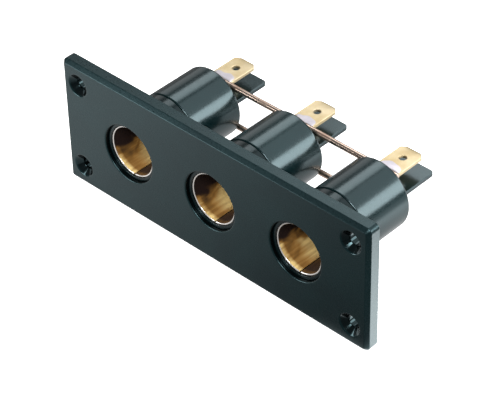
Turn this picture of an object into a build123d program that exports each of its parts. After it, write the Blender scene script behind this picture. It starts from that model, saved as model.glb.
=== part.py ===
"""Panel power socket: three low-voltage plug sockets side by side on one moulded plate.

X runs along the plate, Y is the depth behind the panel and Z is up. The origin is the middle of
the plate's back face, so the face that shows is at negative Y. Every depth below is a Y value.
"""

from build123d import *
import math
import os

# Faceplate
PLATE_LENGTH = 92.0
PLATE_HEIGHT = 34.0
PLATE_THICKNESS = 3.7
PLATE_CORNER_RADIUS = 1.3
PLATE_BEVEL = 0.9
PLATE_BACK_EDGE = 0.3
SCREW_END_DISTANCE = 5.0
SCREW_SIDE_DISTANCE = 5.5
SCREW_HOLE_RADIUS = 1.6
COUNTERSINK_RADIUS = 2.9
COUNTERSINK_DEPTH = 1.5
SOCKET_END_DISTANCE = 20.6
SOCKET_HOLE_RADIUS = 7.45
SOCKET_HOLE_CHAMFER = 0.2

# Rolled brass sleeve, which takes the plug
SLEEVE_BORE_RADIUS = 6.15
SLEEVE_WALL = 0.4
SLEEVE_LENGTH = 19.4
SLEEVE_SETBACK = 1.3
SEAM_GAP = 0.3
SEAM_ANGLE = -88.0
TONGUE_WIDTH = 2.6
TONGUE_X = -1.4
TONGUE_REACH = 4.6
TONGUE_RISE = 0.25

# Collar between plate and barrel
COLLAR_RADIUS = 8.55
COLLAR_LENGTH = 9.4
COLLAR_SETBACK = 0.9
COLLAR_SPIGOT_RADIUS = 7.6

# Barrel cap with its fin
CAP_RADIUS = 8.8
CAP_REAR_WALL = 1.4
CAP_LEDGE_RADIUS = 7.0
CAP_FRONT_CHAMFER = 0.25
CAP_REAR_ROUND = 0.8
FIN_WIDTH = 10.0
FIN_THICKNESS = 1.1
FIN_LENGTH = 12.8
FIN_CORNER_RADIUS = 1.0

# Insulating base and centre contact
BASE_THICKNESS = 4.2
BASE_FLOOR = 1.0
CONTACT_RADIUS = 2.8
CONTACT_WALL = 0.5
CONTACT_FLOOR = 0.6
CONTACT_SETBACK = 0.2
CONTACT_SLOT_WIDTH = 0.6
CONTACT_SLOT_DEPTH = 2.2
TAIL_RADIUS = 1.2
TAIL_HEAD_RADIUS = 2.0
TAIL_HEAD_HEIGHT = 0.5
TERMINAL_ROOM = 0.8

# Blade terminal
BLADE_WIDTH = 6.3
BLADE_THICKNESS = 0.8
BLADE_HEIGHT = 4.5
BLADE_REACH = 11.6
BLADE_HOLE_RADIUS = 0.9
BLADE_HOLE_FROM_TIP = 4.0
BLADE_TIP_CHAMFER = 1.2
BLADE_TIP_BEVEL = 0.25
BLADE_TIP_BEVEL_LENGTH = 0.9
BLADE_BEND_RADIUS = 0.4

# Bus wires and their solder
WIRE_RADIUS = 0.72
WIRE_STANDOFF = 1.0
WIRE_END = 1.0
SOLDER_COVER = 0.2
SOLDER_NEAR_FOOT = 0.85
SOLDER_RIM = 0.1
UPPER_SOLDER_LENGTH = 5.7
UPPER_SOLDER_RUN = 4.4
LOWER_SOLDER_LENGTH = 2.1
LOWER_SOLDER_RUN = 1.6

# Clearances
PRESS_CLEARANCE = 0.05
SLIDE_CLEARANCE = 0.1
WIRE_CLEARANCE = 0.02

# Spacings, radii and depths that follow from the sizes above
SCREW_SPACING_X = PLATE_LENGTH - 2 * SCREW_END_DISTANCE
SCREW_SPACING_Z = PLATE_HEIGHT - 2 * SCREW_SIDE_DISTANCE
SOCKET_PITCH = PLATE_LENGTH / 2 - SOCKET_END_DISTANCE
SLEEVE_RADIUS = SLEEVE_BORE_RADIUS + SLEEVE_WALL
COLLAR_BORE_RADIUS = SLEEVE_RADIUS + PRESS_CLEARANCE
COLLAR_RING_RADIUS = SOCKET_HOLE_RADIUS - PRESS_CLEARANCE
CAP_BORE_RADIUS = COLLAR_SPIGOT_RADIUS + PRESS_CLEARANCE
BASE_RADIUS = CAP_BORE_RADIUS - PRESS_CLEARANCE
CONTACT_BORE_RADIUS = CONTACT_RADIUS - CONTACT_WALL
TAIL_HOLE_RADIUS = TAIL_RADIUS + SLIDE_CLEARANCE

FRONT_FACE = -PLATE_THICKNESS
COLLAR_FRONT = FRONT_FACE + COLLAR_SETBACK
SLEEVE_FRONT = FRONT_FACE + SLEEVE_SETBACK
SLEEVE_REAR = SLEEVE_FRONT + SLEEVE_LENGTH
BASE_REAR = SLEEVE_REAR + BASE_THICKNESS
BLADE_ROOT_REAR = BASE_REAR + BLADE_THICKNESS
CAVITY_REAR = BLADE_ROOT_REAR + TERMINAL_ROOM
CAP_REAR = CAVITY_REAR + CAP_REAR_WALL
BLADE_TIP = CAP_REAR + BLADE_REACH
FIN_TIP = CAP_REAR + FIN_LENGTH
TONGUE_TIP = CAP_REAR + TONGUE_REACH
CONTACT_FRONT = SLEEVE_REAR + CONTACT_SETBACK
BASE_FLOOR_FRONT = BASE_REAR - BASE_FLOOR
CONTACT_FLOOR_FRONT = BASE_FLOOR_FRONT - CONTACT_FLOOR
WIRE_DEPTH = CAP_REAR + WIRE_STANDOFF

BLADE_TOP = BLADE_HEIGHT + BLADE_THICKNESS / 2
BLADE_UNDERSIDE = BLADE_HEIGHT - BLADE_THICKNESS / 2
TONGUE_UNDERSIDE = -SLEEVE_RADIUS + TONGUE_RISE
TONGUE_TOP = TONGUE_UNDERSIDE + SLEEVE_WALL
UPPER_WIRE_Z = BLADE_TOP + WIRE_CLEARANCE + WIRE_RADIUS
LOWER_WIRE_Z = TONGUE_TOP + WIRE_CLEARANCE + WIRE_RADIUS

SOCKETS = {"left": -SOCKET_PITCH, "middle": 0.0, "right": SOCKET_PITCH}
BEYOND = 1.0
ROUND_STEPS = 2


def turned(profile):
    """Revolve an outline of (radius, depth) points about the socket's axis."""
    return revolve(make_face(Polyline(*profile, close=True)), Axis.Y)


def rod(radius, front, rear, x=0.0, z=0.0):
    """A solid cylinder along the depth, from one depth to another."""
    disc = Plane((x, front, z), x_dir=(1, 0, 0), z_dir=(0, 1, 0)) * Circle(radius)
    return extrude(disc, amount=rear - front)


def slab(x_low, x_high, y_low, y_high, z_low, z_high):
    """A rectangular block between two corners."""
    centre = ((x_low + x_high) / 2, (y_low + y_high) / 2, (z_low + z_high) / 2)
    return Pos(*centre) * Box(x_high - x_low, y_high - y_low, z_high - z_low)


def quarter_round(radius, rear, size):
    """Outline points of a rounded rear rim, from its side to its rear face, as a few flat steps."""
    points = []
    for step in range(ROUND_STEPS + 1):
        turn = math.radians(90 * step / ROUND_STEPS)
        points.append((radius - size * (1 - math.cos(turn)), rear - size * (1 - math.sin(turn))))
    return points


def edges_at_depth(shape, depth):
    """The edges that lie wholly at one depth."""
    return shape.edges().filter_by_position(Axis.Y, depth, depth)


def make_faceplate():
    """Moulded plate with a bevelled front, three socket holes and four countersunk screw holes."""
    outline = Plane.XZ * RectangleRounded(PLATE_LENGTH, PLATE_HEIGHT, PLATE_CORNER_RADIUS)
    plate = extrude(outline, amount=PLATE_THICKNESS)
    plate = chamfer(edges_at_depth(plate, FRONT_FACE), PLATE_BEVEL)
    plate = chamfer(edges_at_depth(plate, 0), PLATE_BACK_EDGE)
    socket_hole = turned([
        (0, FRONT_FACE - BEYOND),
        (SOCKET_HOLE_RADIUS + SOCKET_HOLE_CHAMFER + BEYOND, FRONT_FACE - BEYOND),
        (SOCKET_HOLE_RADIUS, FRONT_FACE + SOCKET_HOLE_CHAMFER),
        (SOCKET_HOLE_RADIUS, BEYOND),
        (0, BEYOND),
    ])
    cone_slope = (COUNTERSINK_RADIUS - SCREW_HOLE_RADIUS) / COUNTERSINK_DEPTH
    screw_hole = turned([
        (0, FRONT_FACE - BEYOND),
        (COUNTERSINK_RADIUS + BEYOND * cone_slope, FRONT_FACE - BEYOND),
        (SCREW_HOLE_RADIUS, FRONT_FACE + COUNTERSINK_DEPTH),
        (SCREW_HOLE_RADIUS, BEYOND),
        (0, BEYOND),
    ])
    for x in SOCKETS.values():
        plate -= Pos(x, 0, 0) * socket_hole
    for x in (-SCREW_SPACING_X / 2, SCREW_SPACING_X / 2):
        for z in (-SCREW_SPACING_Z / 2, SCREW_SPACING_Z / 2):
            plate -= Pos(x, 0, z) * screw_hole
    return plate


def make_collar():
    """Ring in the plate's hole, shoulder behind the plate, and the spigot that the cap slides over."""
    return turned([
        (COLLAR_BORE_RADIUS, COLLAR_FRONT),
        (COLLAR_RING_RADIUS, COLLAR_FRONT),
        (COLLAR_RING_RADIUS, 0),
        (COLLAR_RADIUS, 0),
        (COLLAR_RADIUS, COLLAR_LENGTH),
        (COLLAR_SPIGOT_RADIUS, COLLAR_LENGTH),
        (COLLAR_SPIGOT_RADIUS, SLEEVE_REAR),
        (COLLAR_BORE_RADIUS, SLEEVE_REAR),
    ])


def make_sleeve():
    """Strip brass rolled into a tube with an open seam, and the flat tongue left on its rear edge."""
    tube = rod(SLEEVE_RADIUS, SLEEVE_FRONT, SLEEVE_REAR)
    tube -= rod(SLEEVE_BORE_RADIUS, SLEEVE_FRONT - BEYOND, SLEEVE_REAR + BEYOND)
    seam = slab(0, SLEEVE_RADIUS + BEYOND, SLEEVE_FRONT - BEYOND, SLEEVE_REAR + BEYOND, -SEAM_GAP / 2, SEAM_GAP / 2)
    tube -= Rot(0, -SEAM_ANGLE, 0) * seam
    return tube + tongue_slab(SLEEVE_REAR, TONGUE_TIP, 0)


def tongue_slab(front, rear, spare):
    """The flat tongue at the bottom of the tube's wall, or with some spare all round, the slot for it."""
    half_width = TONGUE_WIDTH / 2 + spare
    return slab(
        TONGUE_X - half_width, TONGUE_X + half_width, front, rear, TONGUE_UNDERSIDE - spare, TONGUE_TOP + spare
    )


def make_cap():
    """Barrel with a closed rear wall, a ledge for the base, terminal slots and the moulded fin."""
    cup = turned([
        (CAP_BORE_RADIUS, COLLAR_LENGTH),
        (CAP_RADIUS - CAP_FRONT_CHAMFER, COLLAR_LENGTH),
        (CAP_RADIUS, COLLAR_LENGTH + CAP_FRONT_CHAMFER),
        *quarter_round(CAP_RADIUS, CAP_REAR, CAP_REAR_ROUND),
        (0, CAP_REAR),
        (0, CAVITY_REAR),
        (CAP_LEDGE_RADIUS, CAVITY_REAR),
        (CAP_LEDGE_RADIUS, BASE_REAR),
        (CAP_BORE_RADIUS, BASE_REAR),
    ])
    fin = slab(
        -FIN_WIDTH / 2, FIN_WIDTH / 2, CAP_REAR - CAP_REAR_WALL / 2, FIN_TIP, -FIN_THICKNESS / 2, FIN_THICKNESS / 2
    )
    fin = fillet(edges_at_depth(fin, FIN_TIP).filter_by(Axis.Z), FIN_CORNER_RADIUS)
    blade_slot = slab(
        -BLADE_WIDTH / 2 - SLIDE_CLEARANCE,
        BLADE_WIDTH / 2 + SLIDE_CLEARANCE,
        CAVITY_REAR - BEYOND / 2,
        CAP_REAR + BEYOND,
        BLADE_UNDERSIDE - SLIDE_CLEARANCE,
        BLADE_TOP + SLIDE_CLEARANCE,
    )
    return cup + fin - blade_slot - tongue_slab(CAVITY_REAR - BEYOND / 2, CAP_REAR + BEYOND, SLIDE_CLEARANCE)


def make_base():
    """Insulating disc that closes the sleeve, with a pocket for the contact and a hole for its tail."""
    disc = turned([
        (CONTACT_RADIUS + PRESS_CLEARANCE, SLEEVE_REAR),
        (BASE_RADIUS, SLEEVE_REAR),
        (BASE_RADIUS, BASE_REAR),
        (TAIL_HOLE_RADIUS, BASE_REAR),
        (TAIL_HOLE_RADIUS, BASE_FLOOR_FRONT),
        (CONTACT_RADIUS + PRESS_CLEARANCE, BASE_FLOOR_FRONT),
    ])
    return disc - tongue_slab(SLEEVE_REAR - BEYOND, BASE_REAR + BEYOND, SLIDE_CLEARANCE)


def make_contact():
    """Slotted cup that grips the plug's centre pin, with its tail headed over the blade's root."""
    mouth = CONTACT_WALL / 2
    contact = turned([
        (0, CONTACT_FLOOR_FRONT),
        (CONTACT_BORE_RADIUS, CONTACT_FLOOR_FRONT),
        (CONTACT_BORE_RADIUS, CONTACT_FRONT + mouth),
        (CONTACT_BORE_RADIUS + mouth, CONTACT_FRONT),
        (CONTACT_RADIUS, CONTACT_FRONT),
        (CONTACT_RADIUS, BASE_FLOOR_FRONT),
        (TAIL_RADIUS, BASE_FLOOR_FRONT),
        (TAIL_RADIUS, BLADE_ROOT_REAR),
        (TAIL_HEAD_RADIUS, BLADE_ROOT_REAR),
        (TAIL_HEAD_RADIUS - TAIL_HEAD_HEIGHT / 2, BLADE_ROOT_REAR + TAIL_HEAD_HEIGHT),
        (0, BLADE_ROOT_REAR + TAIL_HEAD_HEIGHT),
    ])
    slot = slab(
        -CONTACT_RADIUS - BEYOND,
        CONTACT_RADIUS + BEYOND,
        CONTACT_FRONT - BEYOND,
        CONTACT_FRONT + CONTACT_SLOT_DEPTH,
        -CONTACT_SLOT_WIDTH / 2,
        CONTACT_SLOT_WIDTH / 2,
    )
    return contact - Rot(0, 45, 0) * slot - Rot(0, -45, 0) * slot


def make_blade():
    """Flat strip: round root under the contact's headed tail, one bend, then the blade with its hole."""
    root_end = -BLADE_WIDTH / 2
    side = Polyline(
        (BASE_REAR, root_end),
        (BLADE_ROOT_REAR, root_end),
        (BLADE_ROOT_REAR, BLADE_UNDERSIDE),
        (BLADE_TIP - BLADE_TIP_BEVEL_LENGTH, BLADE_UNDERSIDE),
        (BLADE_TIP, BLADE_UNDERSIDE + BLADE_TIP_BEVEL),
        (BLADE_TIP, BLADE_TOP - BLADE_TIP_BEVEL),
        (BLADE_TIP - BLADE_TIP_BEVEL_LENGTH, BLADE_TOP),
        (BASE_REAR, BLADE_TOP),
        close=True,
    )
    strip = extrude(Plane.YZ.offset(-BLADE_WIDTH / 2) * make_face(side), amount=BLADE_WIDTH)
    along_x = strip.edges().filter_by(Axis.X)
    outer = along_x.filter_by_position(Axis.Y, BASE_REAR, BASE_REAR).sort_by(Axis.Z)[-1]
    strip = fillet(outer, BLADE_BEND_RADIUS + BLADE_THICKNESS)
    along_x = strip.edges().filter_by(Axis.X)
    inner = along_x.filter_by_position(Axis.Y, BLADE_ROOT_REAR, BLADE_ROOT_REAR).sort_by(Axis.Z)[-1]
    strip = fillet(inner, BLADE_BEND_RADIUS)
    below_axis = slab(-BLADE_WIDTH, BLADE_WIDTH, BASE_REAR - BEYOND, BLADE_ROOT_REAR + BEYOND, -BLADE_WIDTH, 0)
    round_root = rod(BLADE_WIDTH / 2, BASE_REAR - BEYOND, BLADE_ROOT_REAR + BEYOND)
    strip -= below_axis - round_root
    strip -= rod(TAIL_HOLE_RADIUS, BASE_REAR - BEYOND, BLADE_ROOT_REAR + BEYOND)
    corner = make_face(Polyline(
        (BLADE_WIDTH / 2 + BEYOND, BLADE_TIP - BLADE_TIP_CHAMFER - BEYOND),
        (BLADE_WIDTH / 2 + BEYOND, BLADE_TIP + BEYOND),
        (BLADE_WIDTH / 2 - BLADE_TIP_CHAMFER - BEYOND, BLADE_TIP + BEYOND),
        close=True,
    ))
    corner = extrude(Plane.XY.offset(BLADE_UNDERSIDE - BEYOND) * corner, amount=BLADE_THICKNESS + 2 * BEYOND)
    strip -= corner + mirror(corner, Plane.YZ)
    locking_hole = Pos(0, BLADE_TIP - BLADE_HOLE_FROM_TIP, BLADE_HEIGHT) * Cylinder(
        BLADE_HOLE_RADIUS, BLADE_THICKNESS + BEYOND
    )
    return strip - locking_hole


def make_wire(x_low, x_high, z):
    """Straight round copper wire along the row of sockets, with slightly rounded cut ends."""
    length = x_high - x_low
    wire = Pos((x_low + x_high) / 2, WIRE_DEPTH, z) * Rot(0, 90, 0) * Cylinder(WIRE_RADIUS, length)
    return chamfer(wire.edges().filter_by(GeomType.CIRCLE), WIRE_RADIUS * 0.2)


def solder_bead(x, wire_z, seat_z, length, run):
    """Solder over the wire: steep at the barrel, round the wire, then thinning out along its seat."""
    cover = WIRE_RADIUS + SOLDER_COVER
    outline = [
        (-SOLDER_NEAR_FOOT, seat_z),
        (-SOLDER_NEAR_FOOT, wire_z),
        (-cover / 2, wire_z + cover),
        (cover / 2, wire_z + cover),
        (cover, wire_z),
        (run, seat_z + SOLDER_RIM),
        (run, seat_z),
    ]
    outline = make_face(Polyline(*[(WIRE_DEPTH + offset, z) for offset, z in outline], close=True))
    return extrude(Plane.YZ.offset(x - length / 2) * outline, amount=length)


def make_solder(upper_wire, lower_wire):
    """One bead on each blade and one on each sleeve's tongue, each wrapped round its wire."""
    beads = []
    for x in SOCKETS.values():
        upper_bead = solder_bead(x, UPPER_WIRE_Z, BLADE_TOP, UPPER_SOLDER_LENGTH, UPPER_SOLDER_RUN)
        lower_bead = solder_bead(x + TONGUE_X, LOWER_WIRE_Z, TONGUE_TOP, LOWER_SOLDER_LENGTH, LOWER_SOLDER_RUN)
        beads += (upper_bead - upper_wire).solids()
        beads += (lower_bead - lower_wire).solids()
    return Compound(children=beads)


def main():
    os.makedirs("parts", exist_ok=True)
    socket_pieces = {
        "collar": make_collar(),
        "sleeve": make_sleeve(),
        "cap": make_cap(),
        "base": make_base(),
        "contact": make_contact(),
        "blade": make_blade(),
    }
    upper_end = SOCKET_PITCH + BLADE_WIDTH / 2 + WIRE_END
    upper_wire = make_wire(-upper_end, upper_end, UPPER_WIRE_Z)
    lower_end = SOCKET_PITCH + TONGUE_WIDTH / 2 + WIRE_END
    lower_wire = make_wire(TONGUE_X - lower_end, TONGUE_X + lower_end, LOWER_WIRE_Z)
    pieces = {"faceplate": make_faceplate()}
    for place, x in SOCKETS.items():
        for name, piece in socket_pieces.items():
            pieces[f"{name}_{place}"] = Pos(x, 0, 0) * piece
    pieces["upper_bus_wire"] = upper_wire
    pieces["lower_bus_wire"] = lower_wire
    pieces["solder_joints"] = make_solder(upper_wire, lower_wire)
    for name, piece in pieces.items():
        export_step(piece, f"parts/{name}.step")


main()
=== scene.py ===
"""Panel power socket: three plug sockets on one moulded plate, dressed over the fixed CAD frame.

X runs along the plate, Y is the depth behind the panel and Z is up. The part's sizes are in mm and are
turned into metres where they reach Blender. The lights, the floor and the shaders are in metres.
"""

import math

import bmesh
import bpy
import numpy as np
from mathutils import Matrix, Vector


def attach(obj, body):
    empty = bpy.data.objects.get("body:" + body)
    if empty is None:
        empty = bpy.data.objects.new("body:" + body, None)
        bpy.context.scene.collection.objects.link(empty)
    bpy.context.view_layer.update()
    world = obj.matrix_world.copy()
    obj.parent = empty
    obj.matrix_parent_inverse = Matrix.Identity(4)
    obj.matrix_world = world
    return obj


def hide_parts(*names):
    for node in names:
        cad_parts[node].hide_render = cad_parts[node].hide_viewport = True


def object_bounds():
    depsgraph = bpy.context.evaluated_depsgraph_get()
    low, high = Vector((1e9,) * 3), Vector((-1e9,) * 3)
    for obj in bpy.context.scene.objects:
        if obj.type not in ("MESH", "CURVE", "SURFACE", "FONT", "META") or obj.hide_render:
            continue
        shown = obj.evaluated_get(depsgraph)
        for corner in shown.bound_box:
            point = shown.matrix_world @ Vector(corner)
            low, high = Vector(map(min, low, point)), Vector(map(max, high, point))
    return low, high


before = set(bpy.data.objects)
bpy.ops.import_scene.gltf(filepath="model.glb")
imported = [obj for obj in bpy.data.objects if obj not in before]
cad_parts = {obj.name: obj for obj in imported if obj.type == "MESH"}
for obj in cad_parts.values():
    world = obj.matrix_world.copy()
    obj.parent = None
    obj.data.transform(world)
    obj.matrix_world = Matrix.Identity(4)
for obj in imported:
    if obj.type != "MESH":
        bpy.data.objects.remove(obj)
cad_box = [list(corner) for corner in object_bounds()]

MM = 0.001

# Camera of the photograph: turn, height and tilt in degrees, distances in mm, focal length in px
CAMERA_AZIMUTH = 43.986
CAMERA_ELEVATION = 39.233
CAMERA_ROLL = -1.335
CAMERA_DISTANCE = 500.11
CAMERA_ASIDE = 6.398
CAMERA_RISE = -1.323
CAMERA_FOCAL = 2266.0
PHOTO_WIDTH = 500

# Sizes of the part in mm, as in the CAD; every depth is a Y value
PLATE_END, PLATE_TOP, FRONT_FACE = 46.0, 17.0, -3.7
PLATE_CORNER, PLATE_BEVEL, PLATE_BACK_EDGE = 1.3, 0.9, 0.3
SCREW_X, SCREW_Z, SCREW_RADIUS = 41.0, 11.5, 1.6
COUNTERSINK_RADIUS, COUNTERSINK_DEPTH = 2.9, 1.5
SOCKET_PITCH = 25.4
SOCKET_X = {"left": -SOCKET_PITCH, "middle": 0.0, "right": SOCKET_PITCH}
SOCKET_HOLE_RADIUS = 7.45
COLLAR_BORE, COLLAR_RING, COLLAR_RADIUS, COLLAR_SPIGOT = 6.6, 7.4, 8.55, 7.6
COLLAR_FRONT, COLLAR_REAR = -2.8, 9.4
SLEEVE_RADIUS, SLEEVE_WALL = 6.35, 0.4
SLEEVE_FRONT, SLEEVE_REAR = -2.4, 17.0
SEAM_ANGLE, SEAM_GAP = -88, 0.3
TONGUE_X, TONGUE_WIDTH, TONGUE_REAR = -1.4, 2.6, 28.8
TONGUE_TOP, TONGUE_UNDERSIDE = -5.9, -6.3
CAP_RADIUS, CAP_BORE, CAP_LEDGE = 8.8, 7.65, 7.0
BASE_REAR, CAVITY_REAR, CAP_REAR = 21.2, 22.8, 24.2
FIN_WIDTH, FIN_FRONT, FIN_REAR, FIN_TOP = 10.0, 23.4, 37.0, 0.55
BLADE_WIDTH, BLADE_Z, BLADE_HALF, BLADE_BEND = 6.3, 4.5, 0.4, 0.8
BLADE_TIP, TIP_CHAMFER, TIP_BEVEL_LENGTH, TIP_THINNING = 35.8, 1.2, 0.9, 0.625
BLADE_HOLE_DEPTH, BLADE_HOLE_RADIUS = 31.8, 0.9
WIRE_RADIUS, WIRE_DEPTH, WIRE_END = 0.72, 25.2, 1.0
SLOT_CLEARANCE, WIRE_CLEARANCE = 0.1, 0.02

# Half the length of a soldered joint along its wire, and how far the solder has run from the wire, in mm
UPPER_JOINT = (2.95, 4.4)
LOWER_JOINT = (1.15, 1.7)

# Looks of the materials
PLATE_TINT = (0.56, 0.92, 1.0)
COLLAR_TINT = (0.72, 0.94, 1.0)
BARREL_TINT = (0.70, 0.94, 1.0)
HOLE_GLOSS = 0.12
# Painted shade: a near-black colour laid on the walls of the plate's holes
HOLE_PAINTED_SHADE = (0.0003, 0.0006, 0.0007)
BRASS_METALLIC = 0.45

# Points round a turned surface
TURNED_STEPS = 128

# Light: dim even surroundings, and for each soft box its direction from the middle of the part, its
# distance and size in metres, and its radiance, relative to white
WORLD_GLOW = 0.2
SOFT_BOXES = {
    "right_box": ((0.73, 0.56, 0.392), 0.4, (0.17, 0.5), 7.4),
    "left_box": ((-0.37, 0.56, 0.74), 1.4, (0.55, 1.0), 3.4),
    "left_fill": ((-0.77, 0.56, 0.28), 0.9, (0.35, 0.4), 0.7),
    "overhead_box": ((0.28, 0.56, 0.78), 0.72, (0.5, 0.6), 1.2),
    "front_box": ((-0.62, -0.74, 0.25), 0.16, (0.08, 0.08), 9.0),
    "bore_box": ((0.42, -0.54, 0.73), 0.5, (0.2, 0.2), 20.0),
}

# Floor: what the camera sees, and what it throws on the part, relative to white
FLOOR_REACH = 6.0
SEEN_GLOW = 0.9
SEEN_WHITE = (0.8, 0.8, 0.8)
THROWN_GREY = (0.08, 0.08, 0.08)
BEHIND_LEFT_GLOW = 0.15
BEHIND_RIGHT_GLOW = 0.85
FRONT_RIGHT_GLOW = 0.05
FRONT_LEFT_GLOW = 0.98
STREAK_GLOW = 4.6
STREAK_START = (0.046, -0.002, 0.0)
STREAK_TURN = 46.0
STREAK_LENGTH = 0.045
STREAK_WIDTH = 0.012
POOL_GLOW = 1.9
POOL_CENTRE = (0.078, 0.05, -0.017)
POOL_RADIUS = 0.05


def place_camera():
    """Camera at the photograph's viewing angle, looking at a point beside the plate's middle."""
    azimuth, elevation = math.radians(CAMERA_AZIMUTH), math.radians(CAMERA_ELEVATION)
    roll = math.radians(CAMERA_ROLL)
    back = Vector((
        math.sin(azimuth) * math.cos(elevation),
        -math.cos(azimuth) * math.cos(elevation),
        math.sin(elevation),
    ))
    level = (-back).cross(Vector((0, 0, 1))).normalized()
    upright = level.cross(-back)
    right = level * math.cos(roll) + upright * math.sin(roll)
    up = upright * math.cos(roll) - level * math.sin(roll)
    data = bpy.data.cameras.new("photo_camera")
    data.sensor_width = 36
    data.lens = CAMERA_FOCAL / PHOTO_WIDTH * data.sensor_width
    data.clip_start = 0.01
    data.clip_end = 20
    camera = bpy.data.objects.new("photo_camera", data)
    bpy.context.scene.collection.objects.link(camera)
    place = (back * CAMERA_DISTANCE + right * CAMERA_ASIDE + up * CAMERA_RISE) * MM
    turn = Matrix((right, up, back)).transposed()
    camera.matrix_world = Matrix.Translation(place) @ turn.to_4x4()
    bpy.context.scene.camera = camera


place_camera()


# Nodes


def add(tree, kind, values=None, **settings):
    """A node with its settings, and its inputs set to values or linked to other sockets."""
    node = tree.nodes.new(kind)
    for name, value in settings.items():
        setattr(node, name, value)
    for key, value in (values or {}).items():
        if isinstance(value, bpy.types.NodeSocket):
            tree.links.new(value, node.inputs[key])
        else:
            node.inputs[key].default_value = value
    return node


def add_math(tree, operation, *values):
    """A number worked out from one, two or three others."""
    return add(tree, "ShaderNodeMath", dict(enumerate(values)), operation=operation).outputs[0]


def add_vector_math(tree, operation, *values):
    """A node that works on vectors; the caller takes its vector or its number."""
    return add(tree, "ShaderNodeVectorMath", dict(enumerate(values)), operation=operation)


def object_place(tree):
    """The place in the object's own coordinates, in metres."""
    return add(tree, "ShaderNodeTexCoord").outputs["Object"]


def map_range(tree, value, source, target, **settings):
    """A number carried from one range to another, and held at its ends."""
    node = add(tree, "ShaderNodeMapRange", {
        "Value": value,
        "From Min": source[0],
        "From Max": source[1],
        "To Min": target[0],
        "To Max": target[1],
    }, **settings)
    return node.outputs["Result"]


def smooth_range(tree, value, source, target):
    """A number carried from one range to another with soft ends."""
    return map_range(tree, value, source, target, interpolation_type="SMOOTHSTEP")


def blend_colours(tree, factor, first, second):
    """A colour between two, each of which is a colour or a socket."""
    node = add(tree, "ShaderNodeMix", {0: factor}, data_type="RGBA")
    for index, colour in ((6, first), (7, second)):
        if isinstance(colour, bpy.types.NodeSocket):
            tree.links.new(colour, node.inputs[index])
        else:
            node.inputs[index].default_value = (*colour, 1)
    return node.outputs[2]


# Shared effects, as node groups


def new_group(name, inputs, outputs):
    """Empty shader node group: inputs are (name, kind, default), and outputs are the names of numbers."""
    tree = bpy.data.node_groups.new(name, "ShaderNodeTree")
    for socket_name, kind, default in inputs:
        socket = tree.interface.new_socket(socket_name, in_out="INPUT", socket_type=kind)
        socket.default_value = default
    for socket_name in outputs:
        tree.interface.new_socket(socket_name, in_out="OUTPUT", socket_type="NodeSocketFloat")
    return tree, tree.nodes.new("NodeGroupInput"), tree.nodes.new("NodeGroupOutput")


def build_mould_skin():
    """Skin of a moulded plastic piece: fine grain for the bump, and slow flow marks for tone and gloss.
    Sizes are in mm."""
    tree, given, made = new_group("mould_skin", [
        ("Grain Size", "NodeSocketFloat", 0.1),
        ("Flow Size", "NodeSocketFloat", 10.0),
        ("Grain", "NodeSocketFloat", 1.0),
    ], ["Height", "Flow", "Speck"])
    place = object_place(tree)
    grain_scale = add_math(tree, "DIVIDE", 1000.0, given.outputs["Grain Size"])
    flow_scale = add_math(tree, "DIVIDE", 1000.0, given.outputs["Flow Size"])
    speck_scale = add_math(tree, "MULTIPLY", grain_scale, 0.23)
    grain = add(tree, "ShaderNodeTexNoise", {
        "Vector": place, "Scale": grain_scale, "Detail": 2.0, "Roughness": 0.6,
    })
    flow = add(tree, "ShaderNodeTexNoise", {
        "Vector": place, "Scale": flow_scale, "Detail": 3.0, "Roughness": 0.55, "Distortion": 0.6,
    })
    speck = add(tree, "ShaderNodeTexNoise", {
        "Vector": place, "Scale": speck_scale, "Detail": 4.0, "Roughness": 0.7,
    })
    height = add_math(tree, "MULTIPLY", grain.outputs["Fac"], given.outputs["Grain"])
    tree.links.new(height, made.inputs["Height"])
    tree.links.new(flow.outputs["Fac"], made.inputs["Flow"])
    tree.links.new(speck.outputs["Fac"], made.inputs["Speck"])
    return tree


def build_drawn_lines():
    """Fine lines left by rolling or drawing along one axis, with a slow change of tone across them.
    Sizes are in mm."""
    tree, given, made = new_group("drawn_lines", [
        ("Stretch", "NodeSocketVector", (1.0, 0.03, 1.0)),
        ("Line Size", "NodeSocketFloat", 0.15),
        ("Tone Size", "NodeSocketFloat", 6.0),
    ], ["Height", "Tone"])
    place = object_place(tree)
    stretched = add_vector_math(tree, "MULTIPLY", place, given.outputs["Stretch"]).outputs[0]
    line_scale = add_math(tree, "DIVIDE", 1000.0, given.outputs["Line Size"])
    tone_scale = add_math(tree, "DIVIDE", 1000.0, given.outputs["Tone Size"])
    lines = add(tree, "ShaderNodeTexNoise", {"Vector": stretched, "Scale": line_scale, "Detail": 3.0})
    tone = add(tree, "ShaderNodeTexNoise", {
        "Vector": place, "Scale": tone_scale, "Detail": 4.0, "Roughness": 0.6,
    })
    tree.links.new(lines.outputs["Fac"], made.inputs["Height"])
    tree.links.new(tone.outputs["Fac"], made.inputs["Tone"])
    return tree


MOULD_SKIN = build_mould_skin()
DRAWN_LINES = build_drawn_lines()


def place_group(tree, group, **values):
    """A group's node, with inputs set by their names."""
    node = tree.nodes.new("ShaderNodeGroup")
    node.node_tree = group
    for name, value in values.items():
        node.inputs[name.replace("_", " ")].default_value = value
    return node


# Materials


def new_material(name):
    material = bpy.data.materials.new(name)
    material.use_nodes = True
    tree = material.node_tree
    return material, tree, tree.nodes["Principled BSDF"]


def add_bump(tree, shader, height, depth):
    """Relief of a depth in metres, from a height between 0 and 1."""
    bump = add(tree, "ShaderNodeBump", {"Height": height, "Strength": 1.0, "Distance": depth})
    tree.links.new(bump.outputs["Normal"], shader.inputs["Normal"])


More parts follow.
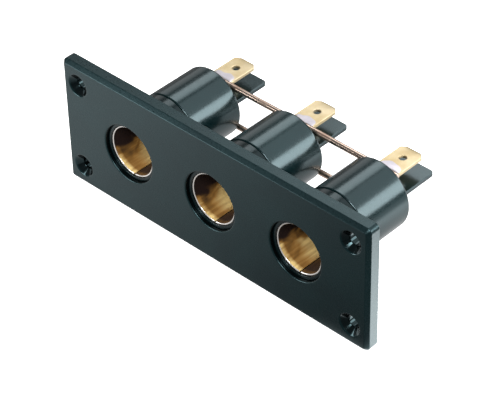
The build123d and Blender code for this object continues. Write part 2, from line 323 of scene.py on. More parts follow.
def moulded_plastic(name, dark, light, gloss, grain_size, grain_depth, specular, tint=COLLAR_TINT):
    """Black moulded plastic: gloss is its lowest and highest roughness."""
    material, tree, shader = new_material(name)
    skin = place_group(tree, MOULD_SKIN, Grain_Size=grain_size, Flow_Size=14.0)
    flow = map_range(tree, skin.outputs["Flow"], (0.3, 0.7), (0.0, 1.0))
    tree.links.new(blend_colours(tree, flow, dark, light), shader.inputs["Base Color"])
    roughness = map_range(tree, skin.outputs["Speck"], (0.3, 0.7), gloss)
    tree.links.new(roughness, shader.inputs["Roughness"])
    shader.inputs["Specular IOR Level"].default_value = specular
    shader.inputs["Specular Tint"].default_value = (*tint, 1)
    add_bump(tree, shader, skin.outputs["Height"], grain_depth)
    return material


def bare_metal(name, base, tarnished, gloss, stretch, line_size, line_depth):
    """Brass, copper or solder: base and tarnished colours, roughness range, and its working lines."""
    material, tree, shader = new_material(name)
    lines = place_group(tree, DRAWN_LINES, Stretch=stretch, Line_Size=line_size)
    tone = map_range(tree, lines.outputs["Tone"], (0.4, 0.75), (0.0, 1.0))
    tree.links.new(blend_colours(tree, tone, base, tarnished), shader.inputs["Base Color"])
    roughness = map_range(tree, lines.outputs["Tone"], (0.3, 0.7), gloss)
    tree.links.new(roughness, shader.inputs["Roughness"])
    shader.inputs["Metallic"].default_value = 1.0
    add_bump(tree, shader, lines.outputs["Height"], line_depth)
    return material


def painted_bore_light(tree):
    """How bright the brass is painted inside a bore, from 0 in painted shade to 1 where it is painted as
    lit, and the mask of its rim, which gets a painted highlight. The angle round the bore starts at the
    lower left of the wall and grows anticlockwise, seen from the front, to the seam. The three bores
    repeat along X."""
    place = object_place(tree)
    axes = add(tree, "ShaderNodeSeparateXYZ", {0: place})
    half_pitch = SOCKET_PITCH / 2 * MM
    across = add_math(tree, "WRAP", axes.outputs["X"], half_pitch, -half_pitch)
    centred = add(tree, "ShaderNodeCombineXYZ", {"X": across, "Z": axes.outputs["Z"]}).outputs[0]
    start = add_vector_math(tree, "DOT_PRODUCT", centred, (-0.643, 0, -0.766))
    quarter_on = add_vector_math(tree, "DOT_PRODUCT", centred, (0.766, 0, -0.643))
    angle = add_math(tree, "ARCTAN2", quarter_on.outputs["Value"], start.outputs["Value"])
    # The painted shade begins at a wavering line: a noise moves the angle by up to this swing
    swing = 1.9
    stretched = add_vector_math(tree, "MULTIPLY", place, (1.0, 0.45, 1.0)).outputs[0]
    blotches = add(tree, "ShaderNodeTexNoise", {
        "Vector": stretched, "Scale": 330.0, "Detail": 2.0, "Distortion": 0.6,
    }).outputs["Fac"]
    lowered = add_math(tree, "SUBTRACT", angle, swing / 2)
    wavering = add_math(tree, "MULTIPLY_ADD", blotches, swing, lowered)
    # Painted light and shade: the angle round the bore, the depth and streaks along the depth set how lit
    # the wall looks
    rising = smooth_range(tree, wavering, (-0.95, 0.15), (0.0, 1.0))
    beyond_seam = smooth_range(tree, angle, (0.71, 0.75), (1.0, 0.25))
    lit_depth = smooth_range(tree, axes.outputs["Y"], (0.0, 0.0065), (0.40, 1.0))
    lit_mouth = smooth_range(tree, axes.outputs["Y"], (-0.0020, 0.0002), (0.85, 0.0))
    streaks = add_vector_math(tree, "MULTIPLY", place, (1.0, 0.08, 1.0)).outputs[0]
    drawn = add(tree, "ShaderNodeTexNoise", {"Vector": streaks, "Scale": 1100.0, "Detail": 2.0})
    streaked = smooth_range(tree, drawn.outputs["Fac"], (0.3, 0.7), (0.7, 1.0))
    # The rim's mask: a pale painted highlight goes there
    rim = smooth_range(tree, axes.outputs["Y"], (-0.00234, -0.0022), (1.0, 0.0))
    around = add_math(tree, "MULTIPLY", rising, beyond_seam)
    along = add_math(tree, "MULTIPLY", add_math(tree, "MAXIMUM", lit_depth, lit_mouth), streaked)
    return add_math(tree, "MULTIPLY", around, along), rim


def rolled_brass(bright, warm, dark, edge):
    """Rolled sheet brass with painted light: bright where the bore is painted as lit, nearly black in
    painted shade elsewhere, and pale at the rim as a painted highlight."""
    material, tree, shader = new_material("rolled_brass")
    shade, rim = painted_bore_light(tree)
    low = blend_colours(tree, smooth_range(tree, shade, (0.03, 0.45), (0.0, 1.0)), dark, warm)
    high = blend_colours(tree, smooth_range(tree, shade, (0.3, 0.85), (0.0, 1.0)), low, bright)
    # Painted highlight: the rim is blended to the pale edge colour
    tree.links.new(blend_colours(tree, rim, high, edge), shader.inputs["Base Color"])
    # Matt inside the bore, and polished on the rim
    tree.links.new(map_range(tree, rim, (0.25, 0.38), (1.0, 0.0)), shader.inputs["Roughness"])
    shader.inputs["Metallic"].default_value = BRASS_METALLIC
    return material


def gloss_holes_and_paint_shade(material, gloss, colour):
    """Gives the four countersunk holes a smoother skin, where the mould's pins were polished, and paints
    shade on the walls of the plate's holes: a deeper black within the plate's thickness."""
    soft, face, end, side = 0.3 * MM, 3.6 * MM, 44.8 * MM, 15.8 * MM
    tree = material.node_tree
    shader = tree.nodes["Principled BSDF"]
    folded = add_vector_math(tree, "ABSOLUTE", object_place(tree)).outputs[0]
    flat = add_vector_math(tree, "MULTIPLY", folded, (1, 0, 1)).outputs[0]
    screw = (SCREW_X * MM, 0, SCREW_Z * MM)
    offset = add_vector_math(tree, "DISTANCE", flat, screw).outputs["Value"]
    sunk = COUNTERSINK_RADIUS * MM
    outside = smooth_range(tree, offset, (sunk, sunk + soft), (0.0, 1.0))
    roughness = shader.inputs["Roughness"]
    rough = add(tree, "ShaderNodeMix", {0: outside, 2: gloss, 3: roughness.links[0].from_socket})
    tree.links.new(rough.outputs[0], roughness)
    # Painted shade: within the plate's thickness, the hole walls are blended to the near-black colour
    axes = add(tree, "ShaderNodeSeparateXYZ", {0: folded})
    below_face = smooth_range(tree, axes.outputs["Y"], (face - soft, face), (1.0, 0.0))
    above_back = smooth_range(tree, axes.outputs["Y"], (0.0, 0.4 * MM), (0.0, 1.0))
    off_ends = smooth_range(tree, axes.outputs["X"], (end - soft, end), (1.0, 0.0))
    off_sides = smooth_range(tree, axes.outputs["Z"], (side - soft, side), (1.0, 0.0))
    within = add_math(tree, "MULTIPLY", off_ends, off_sides)
    inside = add_math(tree, "MULTIPLY", add_math(tree, "MULTIPLY", below_face, above_back), within)
    skin = shader.inputs["Base Color"].links[0].from_socket
    tree.links.new(blend_colours(tree, inside, skin, colour), shader.inputs["Base Color"])


PLATE_BLACK = moulded_plastic(
    "plate_black", dark=(0.001, 0.005, 0.006), light=(0.002, 0.009, 0.010), gloss=(0.25, 0.35),
    grain_size=0.12, grain_depth=0.000002, specular=0.43, tint=PLATE_TINT,
)
# Smoother countersinks, and painted shade on the hole walls
gloss_holes_and_paint_shade(PLATE_BLACK, HOLE_GLOSS, HOLE_PAINTED_SHADE)
COLLAR_BLACK = moulded_plastic(
    "collar_black", dark=(0.001, 0.003, 0.003), light=(0.001, 0.005, 0.006), gloss=(0.16, 0.24),
    grain_size=0.3, grain_depth=0.000004, specular=0.36,
)
BARREL_BLACK = moulded_plastic(
    "barrel_black", dark=(0.001, 0.005, 0.006), light=(0.001, 0.009, 0.010), gloss=(0.16, 0.26),
    grain_size=0.12, grain_depth=0.000002, specular=0.66, tint=BARREL_TINT,
)
BASE_BROWN = moulded_plastic(
    "base_brown", dark=(0.012, 0.006, 0.003), light=(0.02, 0.01, 0.005), gloss=(0.5, 0.6),
    grain_size=0.2, grain_depth=0.000004, specular=0.4,
)
# Painted light and shade in the bores: bright, warm and dark brass by the painted light, and a pale
# painted highlight on the rim
ROLLED_BRASS = rolled_brass(
    bright=(0.95, 0.76, 0.34), warm=(0.38, 0.19, 0.04), dark=(0.014, 0.004, 0.002),
    edge=(0.66, 0.63, 0.60),
)
TURNED_BRASS = bare_metal(
    "turned_brass", base=(0.80, 0.56, 0.22), tarnished=(0.66, 0.42, 0.14), gloss=(0.25, 0.35),
    stretch=(0.2, 1.0, 0.2), line_size=0.08, line_depth=0.000001,
)
STAMPED_BRASS = bare_metal(
    "stamped_brass", base=(0.60, 0.51, 0.34), tarnished=(0.48, 0.37, 0.19), gloss=(0.36, 0.46),
    stretch=(0.05, 1.0, 1.0), line_size=0.08, line_depth=0.000001,
)
DRAWN_COPPER = bare_metal(
    "drawn_copper", base=(0.54, 0.43, 0.36), tarnished=(0.40, 0.27, 0.20), gloss=(0.22, 0.32),
    stretch=(0.03, 1.0, 1.0), line_size=0.06, line_depth=0.000001,
)
BRIGHT_SOLDER = bare_metal(
    "bright_solder", base=(0.54, 0.51, 0.55), tarnished=(0.40, 0.38, 0.42), gloss=(0.26, 0.40),
    stretch=(1.0, 1.0, 1.0), line_size=0.4, line_depth=0.000004,
)

FINISHES = {
    "faceplate": PLATE_BLACK,
    "collar": COLLAR_BLACK,
    "cap": BARREL_BLACK,
    "base": BASE_BROWN,
    "sleeve": ROLLED_BRASS,
    "contact": TURNED_BRASS,
    "blade": STAMPED_BRASS,
    "upper": DRAWN_COPPER,
    "lower": DRAWN_COPPER,
    "solder": BRIGHT_SOLDER,
}


def dress_nodes():
    """Gives every CAD node the finish of its kind."""
    for name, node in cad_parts.items():
        node.data.materials.clear()
        node.data.materials.append(FINISHES[name.split("_")[0]])


dress_nodes()


# Surfaces worked out as arrays, in mm


def arcs_at(corners, before, after, radii, steps):
    """Arcs in place of corners. With h half of a corner's angle, the arc of radius r has its centre on
    the bisector at r / sin h from the corner and touches both sides at r / tan h; its points turn
    evenly."""
    behind = before - corners
    behind /= np.linalg.norm(behind, axis=1, keepdims=True)
    ahead = after - corners
    ahead /= np.linalg.norm(ahead, axis=1, keepdims=True)
    half = np.arccos(np.clip((behind * ahead).sum(axis=1), -1, 1)) / 2
    radii = np.broadcast_to(np.asarray(radii, float), half.shape)
    bisector = behind + ahead
    bisector /= np.linalg.norm(bisector, axis=1, keepdims=True)
    centres = corners + bisector * (radii / np.sin(half))[:, None]
    reach = (radii / np.tan(half))[:, None]
    first = corners + behind * reach - centres
    last = corners + ahead * reach - centres
    sweep = (math.pi - 2 * half)[:, None, None]
    share = np.linspace(0, 1, steps)[None, :, None]
    spokes = np.sin((1 - share) * sweep) * first[:, None] + np.sin(share * sweep) * last[:, None]
    spokes /= np.sin(sweep)
    return centres[:, None] + spokes, spokes / radii[:, None, None]


def rounded_loop(corners, radii, steps=7):
    """Closed outline with arcs for its corners, and the normals that point out of it."""
    corners = np.array(corners, float)
    before, after = np.roll(corners, 1, axis=0), np.roll(corners, -1, axis=0)
    points, normals = arcs_at(corners, before, after, radii, steps)
    return points.reshape(-1, 2), normals.reshape(-1, 2)


def rounded_line(points, radii, steps=5):
    """Open line with arcs for the corners between its ends."""
    points = np.array(points, float)
    arcs, _ = arcs_at(points[1:-1], points[:-2], points[2:], radii, steps)
    return np.concatenate((points[:1], arcs.reshape(-1, 2), points[-1:]))


def circle(centre, radius, steps):
    """Circle as centre + radius (cos a, sin a), and its normals."""
    turn = np.linspace(0, 2 * math.pi, steps, endpoint=False)
    normals = np.stack((np.cos(turn), np.sin(turn)), axis=1)
    return np.array(centre) + radius * normals, normals


def box_corners(low_a, high_a, low_b, high_b):
    return [(low_a, low_b), (high_a, low_b), (high_a, high_b), (low_a, high_b)]


def slab_edge(top, underside, strip, radii):
    """Edge of a flat piece, from a strip of its top face round to one of its underside. A strip below 0
    lies on the other side, as round a hole."""
    return rounded_line([(-strip, top), (0, top), (0, underside), (-strip, underside)], radii)


def carry(loop, profile):
    """A profile of (outset, height) points carried round a closed loop: each point is the loop's point
    plus the outset along its normal, at the profile's height."""
    path, normals = loop
    profile = np.array(profile, float)
    flat = path[:, None] + profile[None, :, :1] * normals[:, None]
    height = np.broadcast_to(profile[None, :, 1:], (*flat.shape[:2], 1))
    return np.concatenate((flat, height), axis=2)


def turned(x, section):
    """A section of (radius, depth) points turned about the axis of the socket at x."""
    return carry(circle((x, 0), 0.0, TURNED_STEPS), section)


def quads(rows, columns, close_rows, close_columns):
    """Corner numbers of the quads of a grid, whose rows or columns may close on themselves."""
    row, column = np.meshgrid(
        np.arange(rows - (not close_rows)), np.arange(columns - (not close_columns)), indexing="ij",
    )
    next_row, next_column = (row + 1) % rows, (column + 1) % columns
    corners = (
        row * columns + column,
        next_row * columns + column,
        next_row * columns + next_column,
        row * columns + next_column,
    )
    return np.stack(corners, axis=-1).reshape(-1, 4)


# Pieces

WELD = 0.0002 * MM
UPRIGHT = (0, 2, 1)
LYING = (0, 1, 2)


def add_shell(
    whole, grids, levels=(), layout=UPRIGHT, close_rows=True, close_columns=False, cap_ends=False,
):
    """Joins grids of (a, b, height) points into one closed shell and adds it to a piece. Open rims at
    the given heights get flat faces, and so do other open ends where cap_ends is set. An upright layout
    takes the height as depth, a lying one as z."""
    shell = bmesh.new()
    for grid in grids:
        faces = quads(*grid.shape[:2], close_rows, close_columns)
        mesh = bpy.data.meshes.new("grid")
        mesh.from_pydata((grid[..., layout].reshape(-1, 3) * MM).tolist(), [], faces.tolist())
        shell.from_mesh(mesh)
        bpy.data.meshes.remove(mesh)
    bmesh.ops.remove_doubles(shell, verts=shell.verts, dist=WELD)
    axis = layout.index(2)
    for level in levels:
        rim = [
            edge for edge in shell.edges
            if edge.is_boundary and all(abs(end.co[axis] - level * MM) < WELD for end in edge.verts)
        ]
        bmesh.ops.triangle_fill(shell, use_beauty=True, edges=rim)
    if cap_ends:
        bmesh.ops.holes_fill(shell, edges=[edge for edge in shell.edges if edge.is_boundary])
    bmesh.ops.recalc_face_normals(shell, faces=shell.faces)
    mesh = bpy.data.meshes.new("shell")
    shell.to_mesh(mesh)
    shell.free()
    whole.from_mesh(mesh)
    bpy.data.meshes.remove(mesh)


def set_piece(name, whole, finish, replaced):
    """Makes the object of a piece, smooth over its rounded edges, in place of its CAD node."""
    mesh = bpy.data.meshes.new(name)
    whole.to_mesh(mesh)
    whole.free()
    mesh.polygons.foreach_set("use_smooth", np.ones(len(mesh.polygons), bool))
    mesh.materials.append(finish)
    piece = bpy.data.objects.new(name, mesh)
    bpy.context.scene.collection.objects.link(piece)
    shading = piece.modifiers.new("shading", "WEIGHTED_NORMAL")
    shading.mode = "FACE_AREA"
    shading.weight = 50
    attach(piece, "root")
    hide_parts(replaced)


def make_faceplate():
    """Moulded plate with softened bevels, lips and countersinks."""
    strip = 0.2
    edge = rounded_line([
        (-PLATE_BEVEL - strip, FRONT_FACE),
        (-PLATE_BEVEL, FRONT_FACE),
        (0, FRONT_FACE + PLATE_BEVEL),
        (0, -PLATE_BACK_EDGE),
        (-PLATE_BACK_EDGE, 0),
        (-PLATE_BACK_EDGE - strip, 0),
    ], [0.22, 0.3, 0.15, 0.15])
    lip = rounded_line([(0.7, FRONT_FACE), (0, FRONT_FACE), (0, 0), (0.5, 0)], [0.3, 0.15], 7)
    cone = COUNTERSINK_RADIUS - SCREW_RADIUS
    countersink = rounded_line([
        (cone + 0.6, FRONT_FACE),
        (cone, FRONT_FACE),
        (0, FRONT_FACE + COUNTERSINK_DEPTH),
        (0, 0),
        (0.4, 0),
    ], [0.3, 0.2, 0.12], 7)
    outline = box_corners(-PLATE_END, PLATE_END, -PLATE_TOP, PLATE_TOP)
    grids = [carry(rounded_loop(outline, PLATE_CORNER, 9), edge)]
    for x in SOCKET_X.values():
        grids.append(carry(circle((x, 0), SOCKET_HOLE_RADIUS, TURNED_STEPS), lip))
    for x in (-SCREW_X, SCREW_X):
        for z in (-SCREW_Z, SCREW_Z):
            grids.append(carry(circle((x, z), SCREW_RADIUS, 64), countersink))
    whole = bmesh.new()
    add_shell(whole, grids, (FRONT_FACE, 0))
    set_piece("plate_moulding", whole, PLATE_BLACK, "faceplate")


def make_collar(place, x):
    """Turned ring: front edge inside the plate's hole, shoulder behind the plate, and the spigot."""
    section, _ = rounded_loop([
        (COLLAR_BORE, COLLAR_FRONT),
        (COLLAR_RING, COLLAR_FRONT),
        (COLLAR_RING, 0),
        (COLLAR_RADIUS, 0),
        (COLLAR_RADIUS, COLLAR_REAR),
        (COLLAR_SPIGOT, COLLAR_REAR),
        (COLLAR_SPIGOT, SLEEVE_REAR),
        (COLLAR_BORE, SLEEVE_REAR),
    ], [0.1, 0.16, 0.04, 0.15, 0.08, 0.04, 0.1, 0.1], 5)
    whole = bmesh.new()
    add_shell(whole, [turned(x, section)], close_columns=True)
    set_piece("collar_ring_" + place, whole, COLLAR_BLACK, "collar_" + place)


def slot_loop(middle, width, underside, top):
    """Mouth of the slot for a flat terminal, with the clearance all round it."""
    half = width / 2 + SLOT_CLEARANCE
    low, high = underside - SLOT_CLEARANCE, top + SLOT_CLEARANCE
    return rounded_loop(box_corners(middle - half, middle + half, low, high), 0.12, 4)


def make_barrel(place, x):
    """Cap turned from its section, with slots through its rear wall, and the fin as a rounded slab."""
    cup = rounded_line([
        (CAP_BORE - 0.05, CAP_REAR),
        (CAP_RADIUS, CAP_REAR),
        (CAP_RADIUS, COLLAR_REAR),
        (CAP_BORE, COLLAR_REAR),
        (CAP_BORE, BASE_REAR),
        (CAP_LEDGE, BASE_REAR),
        (CAP_LEDGE, CAVITY_REAR),
    ], [0.8, 0.4, 0.08, 0.05, 0.05], 9)
    mouth = rounded_line([(0.25, CAP_REAR), (0, CAP_REAR), (0, CAVITY_REAR)], [0.1])
    blade_slot = slot_loop(x, BLADE_WIDTH, BLADE_Z - BLADE_HALF, BLADE_Z + BLADE_HALF)
    tongue_slot = slot_loop(x + TONGUE_X, TONGUE_WIDTH, TONGUE_UNDERSIDE, TONGUE_TOP)
    grids = [turned(x, cup), carry(blade_slot, mouth), carry(tongue_slot, mouth)]
    whole = bmesh.new()
    add_shell(whole, grids, (CAP_REAR, CAVITY_REAR))
    fin = box_corners(x - FIN_WIDTH / 2, x + FIN_WIDTH / 2, FIN_FRONT, FIN_REAR)
    fin = carry(rounded_loop(fin, [0.5, 0.5, 1.0, 1.0]), slab_edge(FIN_TOP, -FIN_TOP, 0.4, 0.2))
    add_shell(whole, [fin], (FIN_TOP, -FIN_TOP), LYING)
    set_piece("barrel_" + place, whole, BARREL_BLACK, "cap_" + place)


def rim_rows(front, rear, half, along, steps=6):
    """Depths and thickness shares of a sheet's rows. At both ends the edge is a half circle: at turn t
    the depth goes in by half (1 - cos t) and the share of the thickness is sin t."""
    turn = np.linspace(0, math.pi / 2, steps)
    inward, share = half * (1 - np.cos(turn)), np.sin(turn)
    middle = np.linspace(front + half, rear - half, along)[1:-1]
    depths = np.concatenate((front + inward, middle, (rear - inward)[::-1]))
    shares = np.concatenate((share, np.ones(along - 2), share[::-1]))
    return depths, shares


def make_sleeve(place, x, phase):
    """Rolled strip with an open seam, and its tongue. The section runs along the outside, round the
    seam's edge and back along the inside: the distance from the axis is the mean radius plus the offset
    plus a ripple, a few waves of hundredths of a mm that turn slowly along the depth, as rolling leaves
    them."""
    half, seam = SLEEVE_WALL / 2, math.radians(SEAM_ANGLE)
    start = (SEAM_GAP / 2 + half) / SLEEVE_RADIUS
    around = 145
    arc = np.linspace(seam + start, seam + 2 * math.pi - start, around)
    turn = np.linspace(0, math.pi, 7)[1:-1]
    bulge = half / SLEEVE_RADIUS * np.sin(turn)
    angles = np.concatenate((arc, arc[-1] + bulge, arc[::-1], arc[0] - bulge))
    outside, inside = np.full(around, half), np.full(around, -half)
    offsets = np.concatenate((outside, half * np.cos(turn), inside, -half * np.cos(turn)))
    depths, shares = rim_rows(SLEEVE_FRONT, SLEEVE_REAR, half, 34)
    angle, depth = angles[:, None], depths[None]
    ripple = 0.012 * np.sin(3 * angle + 0.25 * depth + phase)
    ripple += 0.008 * np.sin(7 * angle - 0.4 * depth + 2 * phase)
    ripple += 0.006 * np.sin(0.9 * depth + 2 * angle + phase)
    reach = SLEEVE_RADIUS + offsets[:, None] * shares[None] + ripple
    tube = np.stack((
        x + reach * np.cos(angle),
        reach * np.sin(angle),
        np.broadcast_to(depth, reach.shape),
    ), axis=2)
    whole = bmesh.new()
    add_shell(whole, [tube])
    left = x + TONGUE_X - TONGUE_WIDTH / 2
    tongue = box_corners(left, left + TONGUE_WIDTH, SLEEVE_REAR - 0.05, TONGUE_REAR)
    edge = slab_edge(TONGUE_TOP, TONGUE_UNDERSIDE, 0.25, 0.1)
    tongue = carry(rounded_loop(tongue, [0.3, 0.3, 0.6, 0.6]), edge)
    add_shell(whole, [tongue], (TONGUE_TOP, TONGUE_UNDERSIDE), LYING)
    set_piece("rolled_sleeve_" + place, whole, ROLLED_BRASS, "sleeve_" + place)


def thin_tip(whole):
    """Lead-in bevel of a blade: from its start to the tip, each height over the middle of the sheet is
    multiplied by 1 - thinning times the share of the way."""
    start = (BLADE_TIP - TIP_BEVEL_LENGTH) * MM
    bmesh.ops.bisect_plane(
        whole, geom=whole.verts[:] + whole.edges[:] + whole.faces[:], dist=1e-8,
        plane_co=(0, start, 0), plane_no=(0, 1, 0),
    )
    mesh = bpy.data.meshes.new("tip")
    whole.to_mesh(mesh)
    points = np.empty(len(mesh.vertices) * 3)
    mesh.vertices.foreach_get("co", points)
    points = points.reshape(-1, 3)
    way = np.clip(points[:, 1] - start, 0, None) / (TIP_BEVEL_LENGTH * MM)
    middle = BLADE_Z * MM
    points[:, 2] = middle + (points[:, 2] - middle) * (1 - TIP_THINNING * way)
    mesh.vertices.foreach_set("co", points.ravel())
    whole.clear()
    whole.from_mesh(mesh)
    bpy.data.meshes.remove(mesh)


def blade_root(x):
    """Bend and root of a blade, as a section carried along its middle line: a quarter turn down from the
    blade, then straight down to a round end, whose half width at height z below the axis is the square
    root of half the blade's width squared less z squared."""
    bend_steps, fall_steps = 9, 23
    half_width = BLADE_WIDTH / 2
    root_depth = BASE_REAR + BLADE_HALF
    turn = np.linspace(0, math.pi / 2, bend_steps)
    fall = np.linspace(BLADE_Z - BLADE_BEND, 0.05 - half_width, fall_steps + 1)[1:]
    bent = root_depth + BLADE_BEND * (1 - np.sin(turn))
    depths = np.concatenate((bent, np.full(fall_steps, root_depth)))
    heights = np.concatenate((BLADE_Z - BLADE_BEND * (1 - np.cos(turn)), fall))
    lean = np.concatenate((turn, np.full(fall_steps, math.pi / 2)))
    rounded = np.sqrt(np.clip(half_width ** 2 - np.minimum(fall, 0) ** 2, 0.01, None))
    widths = np.concatenate((np.full(bend_steps, half_width), rounded))
    section, _ = rounded_loop(box_corners(-1, 1, -BLADE_HALF, BLADE_HALF), 0.05, 3)
    through = section[:, 1:]
    return np.stack((
        x + section[:, :1] * widths[None],
        heights[None] + through * np.cos(lean)[None],
        depths[None] - through * np.sin(lean)[None],
    ), axis=2)


def make_blade(place, x):
    """Stamped blank with soft edges, a locking hole and a thinned tip, and inside the cap the bend and
    the round root under the contact."""
    half_width, bend_end = BLADE_WIDTH / 2, BASE_REAR + BLADE_HALF + BLADE_BEND
    shoulder = BLADE_TIP - TIP_CHAMFER
    outline = rounded_loop([
        (x - half_width, bend_end),
        (x + half_width, bend_end),
        (x + half_width, shoulder),
        (x + half_width - TIP_CHAMFER, BLADE_TIP),
        (x - half_width + TIP_CHAMFER, BLADE_TIP),
        (x - half_width, shoulder),
    ], [0.25, 0.25, 0.5, 0.4, 0.4, 0.5])
    top, underside = BLADE_Z + BLADE_HALF, BLADE_Z - BLADE_HALF
    hole = circle((x, BLADE_HOLE_DEPTH), BLADE_HOLE_RADIUS, 48)
    grids = [
        carry(outline, slab_edge(top, underside, 0.2, [0.12, 0.06])),
        carry(hole, slab_edge(top, underside, -0.25, [0.15, 0.06])),
    ]
    whole = bmesh.new()
    add_shell(whole, grids, (top, underside), LYING)
    thin_tip(whole)
    add_shell(whole, [blade_root(x)], cap_ends=True)
    set_piece("blade_strip_" + place, whole, STAMPED_BRASS, "blade_" + place)


def make_wire(name, middle_x, seat_width, seat, phase, replaced):
    """Drawn wire over three terminals, which are its seats: circles carried along X, which close over a
    flat cut end with a rounded edge, wandering by a few hundredths of a mm as a hand-straightened wire
    does. In the rounded edge, at turn t, the end is cut (1 - cos t) away and the radius is less by
    cut (1 - sin t)."""
    cut, straight = 0.15, 78
    reach = SOCKET_PITCH + seat_width / 2 + WIRE_END
    low, high = middle_x - reach, middle_x + reach
    height = seat + WIRE_CLEARANCE + WIRE_RADIUS
    turn = np.linspace(0, math.pi / 2, 5)
    steps = np.concatenate(((0, 0), cut * (1 - np.cos(turn))))
    share = np.concatenate(((0, 0.5), 1 - cut / WIRE_RADIUS * (1 - np.sin(turn))))
    middle = np.linspace(low + cut, high - cut, straight + 2)[1:-1]
    along = np.concatenate((low + steps, middle, (high - steps)[::-1]))
    radius = WIRE_RADIUS * np.concatenate((share, np.ones(straight), share[::-1]))
    around = np.linspace(0, 2 * math.pi, 32, endpoint=False)[:, None]
    wander_y = 0.03 * np.sin(0.11 * along + phase) + 0.02 * np.sin(0.31 * along + 2 * phase)
    wander_z = 0.03 * np.sin(0.13 * along + 3 * phase)
    upward, rearward = radius[None] * np.sin(around), radius[None] * np.cos(around)
    wire = np.stack((
        np.broadcast_to(along[None], upward.shape),
        height + wander_z[None] + upward,
        WIRE_DEPTH + wander_y[None] + rearward,
    ), axis=2)
    whole = bmesh.new()
    add_shell(whole, [wire])
    set_piece(name, whole, DRAWN_COPPER, replaced)


def solder_patch(x, seat, half_length, run, phase):
    """Solder flowed over a wire, as a height over its seat. Over the distance d behind the wire's axis
    and the share u of the half length, the height is a bell over the wire, about
    1.5 exp(-(|d| / 1.05) ^ 2.6), plus a film that thins out with d. Both fall to nothing at the rim,
    which is a rounded outline with a slow wave in it. The patch is closed by the same outline, laid just
    under the seat."""
    sunk, near = 0.02, 0.86
    u = np.linspace(-1, 1, 57)[:, None]
    v = np.linspace(0, 1, 73)[None]
    wave = 1 + 0.05 * np.sin(3.1 * u + phase) + 0.03 * np.sin(7.3 * u + 2 * phase)
    rim = run * (1 - 0.22 * np.abs(u) ** 3) * wave
    d = -near + (near + rim) * v
    length = half_length * (1 - 0.1 * np.clip((d - 1) / run, 0, 1) ** 2)
    bell = (1.50 + 0.06 * np.cos(2.2 * u + phase)) * np.exp(-(np.abs(d) / 1.05) ** 2.6)
    film = 0.16 * np.exp(-np.clip(d, 0, None) / (0.45 * run))
    film = film * (1 + 0.2 * np.sin(1.7 * d + 3 * u + phase))
    edge = (1 - np.abs(u) ** 10) * (1 - np.exp(-v / 0.02)) * (1 - np.exp(-(1 - v) / 0.06))
    top = seat + (bell + film) * edge - sunk
    upper = np.stack((x + length * u, WIRE_DEPTH + d, top), axis=2)
    lower = upper.copy()
    lower[..., 2] = seat - sunk
    return upper, lower


def make_solder():
    """Six soldered joints: over the blades and over the sleeves' tongues."""
    whole = bmesh.new()
    for number, x in enumerate(SOCKET_X.values()):
        upper = solder_patch(x, BLADE_Z + BLADE_HALF, *UPPER_JOINT, number)
        lower = solder_patch(x + TONGUE_X, TONGUE_TOP, *LOWER_JOINT, 2 + number)
        for patch in (upper, lower):
            add_shell(whole, patch, layout=LYING, close_rows=False)
    set_piece("solder_fillets", whole, BRIGHT_SOLDER, "solder_joints")


make_faceplate()
for number, (place, x) in enumerate(SOCKET_X.items()):
    make_collar(place, x)
    make_barrel(place, x)
    make_sleeve(place, x, 1.3 * number)
    make_blade(place, x)
make_wire("upper_wire", 0.0, BLADE_WIDTH, BLADE_Z + BLADE_HALF, 0.4, "upper_bus_wire")
make_wire("lower_wire", TONGUE_X, TONGUE_WIDTH, TONGUE_TOP, 1.7, "lower_bus_wire")
make_solder()


# Studio


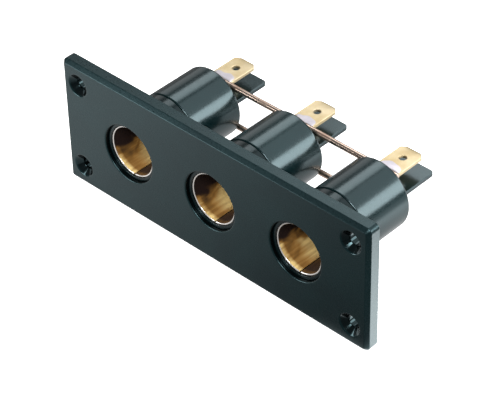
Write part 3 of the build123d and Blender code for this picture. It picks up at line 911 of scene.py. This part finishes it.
def thrown_glow(tree):
    """What the floor throws on the part: bright at the left in front, dark at the right in front, and
    behind the plate a bright pool and a streak at its right end."""
    place = object_place(tree)
    axes = add(tree, "ShaderNodeSeparateXYZ", {0: place})
    offset = add_vector_math(tree, "DISTANCE", place, POOL_CENTRE).outputs["Value"]
    pool = smooth_range(tree, offset, (0.0, POOL_RADIUS), (POOL_GLOW, 0.0))
    streak_place = add(tree, "ShaderNodeMapping", {
        "Vector": place, "Location": STREAK_START, "Rotation": (0, 0, math.radians(STREAK_TURN)),
    }, vector_type="TEXTURE").outputs[0]
    streak_axes = add(tree, "ShaderNodeSeparateXYZ", {0: streak_place})
    aside = add_math(tree, "ABSOLUTE", streak_axes.outputs["Y"])
    breadth = smooth_range(tree, aside, (STREAK_WIDTH * 0.4, STREAK_WIDTH), (1.0, 0.0))
    length = smooth_range(
        tree, streak_axes.outputs["X"], (STREAK_LENGTH, STREAK_LENGTH * 1.6), (STREAK_GLOW, 0.0),
    )
    behind = smooth_range(tree, axes.outputs["Y"], (-0.006, 0.0), (0.0, 1.0))
    streak = add_math(tree, "MULTIPLY", add_math(tree, "MULTIPLY", breadth, length), behind)
    front = smooth_range(tree, axes.outputs["X"], (-0.08, 0.05), (FRONT_LEFT_GLOW, FRONT_RIGHT_GLOW))
    back = smooth_range(tree, axes.outputs["X"], (-0.05, -0.01), (BEHIND_LEFT_GLOW, BEHIND_RIGHT_GLOW))
    ground = add(tree, "ShaderNodeMix", {0: behind, 2: front, 3: back}).outputs[0]
    return add_math(tree, "ADD", add_math(tree, "MAXIMUM", streak, pool), ground)


def make_floor():
    """Pale floor at the plate's lower edge, which the camera sees as a light table."""
    level, span = cad_box[0][2], (-FLOOR_REACH, FLOOR_REACH)
    corners = [(x, y, level) for x, y in box_corners(*span, *span)]
    mesh = bpy.data.meshes.new("floor")
    mesh.from_pydata(corners, [], [(0, 1, 2, 3)])
    floor = bpy.data.objects.new("floor", mesh)
    bpy.context.scene.collection.objects.link(floor)
    material, tree, shader = new_material("pale_floor")
    shader.inputs["Roughness"].default_value = 0.9
    shader.inputs["Specular IOR Level"].default_value = 0.0
    shader.inputs["Emission Color"].default_value = (1, 1, 1, 1)
    seen = add(tree, "ShaderNodeLightPath").outputs["Is Camera Ray"]
    glow = add(tree, "ShaderNodeMix", {0: seen, 2: thrown_glow(tree), 3: SEEN_GLOW}).outputs[0]
    tree.links.new(glow, shader.inputs["Emission Strength"])
    tree.links.new(blend_colours(tree, seen, THROWN_GREY, SEEN_WHITE), shader.inputs["Base Color"])
    mesh.materials.append(material)


def soft_light(name, direction, distance, size, radiance):
    """A soft box in a direction from the middle of the part, facing it, its length along the depth."""
    out = Vector(direction).normalized()
    across = Vector((0, 1, 0)).cross(out).normalized()
    along = out.cross(across)
    data = bpy.data.lights.new(name, "AREA")
    data.shape = "RECTANGLE"
    data.size, data.size_y = size
    data.energy = radiance * math.pi * size[0] * size[1]
    light = bpy.data.objects.new(name, data)
    bpy.context.scene.collection.objects.link(light)
    turn = Matrix((across, along, out)).transposed()
    light.matrix_world = Matrix.Translation(out * distance) @ turn.to_4x4()


def light_scene():
    """Dim even surroundings and the soft boxes."""
    world = bpy.data.worlds.new("studio")
    world.use_nodes = True
    background = world.node_tree.nodes["Background"]
    background.inputs["Color"].default_value = (1, 1, 1, 1)
    background.inputs["Strength"].default_value = WORLD_GLOW
    bpy.context.scene.world = world
    for name, box in SOFT_BOXES.items():
        soft_light(name, *box)
    bpy.context.scene.view_settings.view_transform = "Standard"


make_floor()
light_scene()

bpy.context.view_layer.update()
